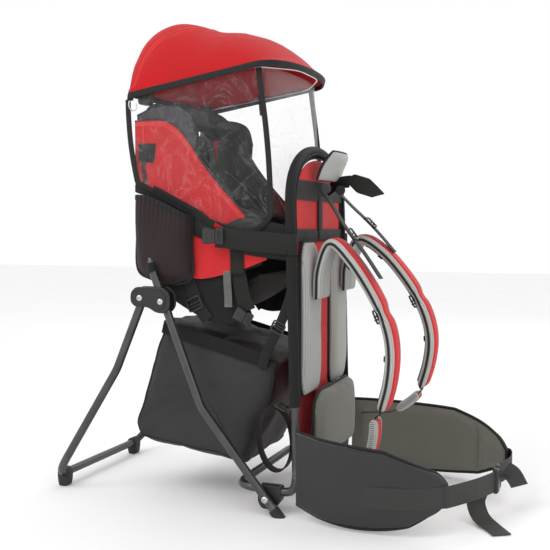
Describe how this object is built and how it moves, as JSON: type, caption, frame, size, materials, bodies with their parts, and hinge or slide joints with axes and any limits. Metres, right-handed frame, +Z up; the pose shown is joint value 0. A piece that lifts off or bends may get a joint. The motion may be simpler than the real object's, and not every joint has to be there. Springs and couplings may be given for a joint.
{
  "type": "baby carrier backpack",
  "caption": "Framed child carrier backpack standing open on its kickstand, with padded harness and hip belt, child seat, storage bag, red sun canopy and clear rain shield.",
  "frame": {"origin": "centre of the bounding box in X and Y, on the floor under the feet", "axes": "+X the way the wearer walks, towards the hip belt; -X the child side and the kickstand; +Z up"},
  "size_m": [0.9156, 0.4444, 0.9384],
  "materials": {
    "red_fabric": "matte woven polyester",
    "charcoal_fabric": "satin woven nylon",
    "black_fabric": "matte woven polyester",
    "grey_air_mesh": "open honeycomb spacer mesh",
    "olive_air_mesh": "fine spacer mesh",
    "black_webbing": "ribbed woven webbing",
    "gunmetal_tube": "satin gunmetal coating on aluminium tube",
    "black_plastic": "fine moulded texture",
    "black_rubber": "matte",
    "steel_wire": "bright",
    "clear_sheet": "clear flexible sheet"
  },
  "bodies": {
    "back_frame": {"back_frame_tube": "gunmetal_tube", "foot_loop": "gunmetal_tube", "foot_block_near": "black_plastic", "foot_block_far": "black_plastic", "back_panel": "red_fabric", "headrest_pad": "grey_air_mesh", "back_pad_near": "grey_air_mesh", "back_pad_far": "grey_air_mesh", "back_centre_strip": "red_fabric", "lumbar_pad": "olive_air_mesh", "shoulder_strap_near": "red_fabric", "shoulder_strap_far": "red_fabric", "strap_lock_near": "black_plastic", "strap_lock_far": "black_plastic", "load_lifter_near": "black_webbing", "load_lifter_far": "black_webbing", "hip_belt_near": "charcoal_fabric", "hip_belt_far": "charcoal_fabric", "hip_webbing_near": "black_webbing", "hip_webbing_far": "black_webbing", "hip_tail_near": "black_webbing", "hip_buckle_female": "black_plastic"},
    "rear_frame": {"rear_frame_tube": "gunmetal_tube", "strut_foot_near": "black_rubber", "strut_foot_far": "black_rubber", "strut_rivet_near": "steel_wire", "strut_rivet_far": "steel_wire", "hinge_bracket_near": "black_plastic", "hinge_bracket_far": "black_plastic", "bracket_screw_near": "steel_wire", "bracket_screw_far": "steel_wire", "leg_pivot_near": "steel_wire", "leg_pivot_far": "steel_wire", "canopy_clip_near": "black_plastic", "canopy_clip_far": "black_plastic", "seat_side_near": "red_fabric", "seat_side_far": "red_fabric", "seat_back": "black_fabric", "seat_bottom": "black_fabric", "seat_collar": "charcoal_fabric", "harness_webbing_near": "black_webbing", "harness_webbing_far": "black_webbing", "harness_buckle": "black_plastic", "mesh_pocket_near": "black_fabric", "mesh_pocket_far": "black_fabric", "side_webbing_near": "black_webbing", "side_webbing_far": "black_webbing", "side_buckle_near": "black_plastic", "side_buckle_far": "black_plastic", "storage_bag": "charcoal_fabric", "stirrup_near": "black_webbing", "stirrup_far": "black_webbing"},
    "kickstand": {"kickstand_tube": "gunmetal_tube", "kickstand_foot_near": "black_rubber", "kickstand_foot_far": "black_rubber"},
    "canopy": {"canopy": "red_fabric", "canopy_hoop": "steel_wire", "rain_shield": "clear_sheet"},
    "hip_buckle_male": {"hip_buckle_male": "black_plastic", "hip_tail_far": "black_webbing"}
  },
  "joints": [
    {"name": "frame_fold", "type": "hinge", "parent": "back_frame", "child": "rear_frame", "pos_m": [0.0122, 0, 0.0306], "axis": [0, 1, 0], "range_deg": [0, 20], "deforming": ["storage_bag", "seat_side_near", "seat_side_far", "seat_bottom", "seat_collar", "mesh_pocket_near", "mesh_pocket_far", "side_webbing_near", "side_webbing_far", "stirrup_near", "stirrup_far", "rain_shield"]},
    {"name": "kickstand_swing", "type": "hinge", "parent": "rear_frame", "child": "kickstand", "pos_m": [-0.2398, 0, 0.394], "axis": [0, 1, 0], "range_deg": [-42, 0]},
    {"name": "canopy_tilt", "type": "hinge", "parent": "rear_frame", "child": "canopy", "pos_m": [-0.2628, 0, 0.788], "axis": [0, 1, 0], "range_deg": [-60, 0], "deforming": ["rain_shield"]},
    {"name": "hip_buckle_release", "type": "slide", "parent": "back_frame", "child": "hip_buckle_male", "axis": [0, 1, 0], "range_m": [0, 0.022], "deforming": ["hip_webbing_far"]}
  ]
}
